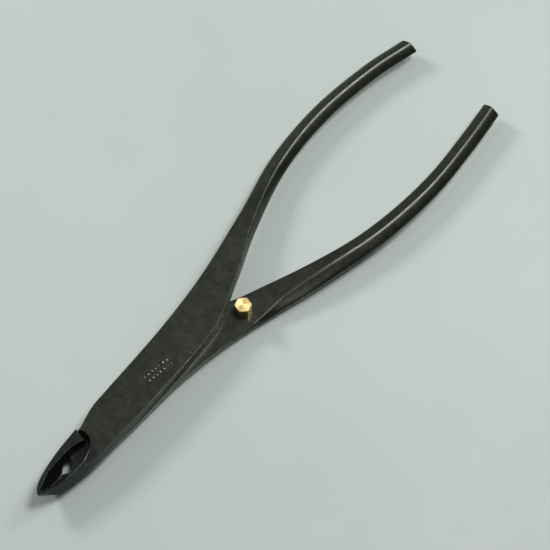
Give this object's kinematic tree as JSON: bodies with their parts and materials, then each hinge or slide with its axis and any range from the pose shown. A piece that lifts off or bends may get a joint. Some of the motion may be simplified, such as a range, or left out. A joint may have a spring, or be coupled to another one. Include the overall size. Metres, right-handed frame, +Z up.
{
  "type": "branch nippers",
  "caption": "Slim forged branch nippers, closed: lapped levers on a flush rivet, hollow concave jaws, long bowed handles and a hexagonal closing stop screw in the crotch.",
  "frame": {"origin": "on the pivot axis, at the underside of the rivet, which is flush with the plane that the closed tool lies on", "axes": "+X runs along the tool from the pivot to the jaw tips, +Y is towards the jaw of the upper lever, +Z is up along the pivot axis towards the face with the hexagon head"},
  "size_m": [0.2067, 0.0532, 0.0088],
  "materials": {
    "upper_lever_steel": "forged steel with a black oxide skin, satin",
    "lower_lever_steel": "forged steel with a black oxide skin, satin",
    "rivet_steel": "ground flush and blackened",
    "screw_brass": "turned, bare"
  },
  "bodies": {
    "lower_half": {"lower_lever": "lower_lever_steel", "pivot_rivet": "rivet_steel", "stop_screw": "screw_brass"},
    "upper_half": {"upper_lever": "upper_lever_steel"}
  },
  "joints": [
    {"name": "pivot", "type": "hinge", "parent": "lower_half", "child": "upper_half", "pos_m": [0, 0, 0.0044], "axis": [0, 0, 1], "range_deg": [0, 25]}
  ]
}
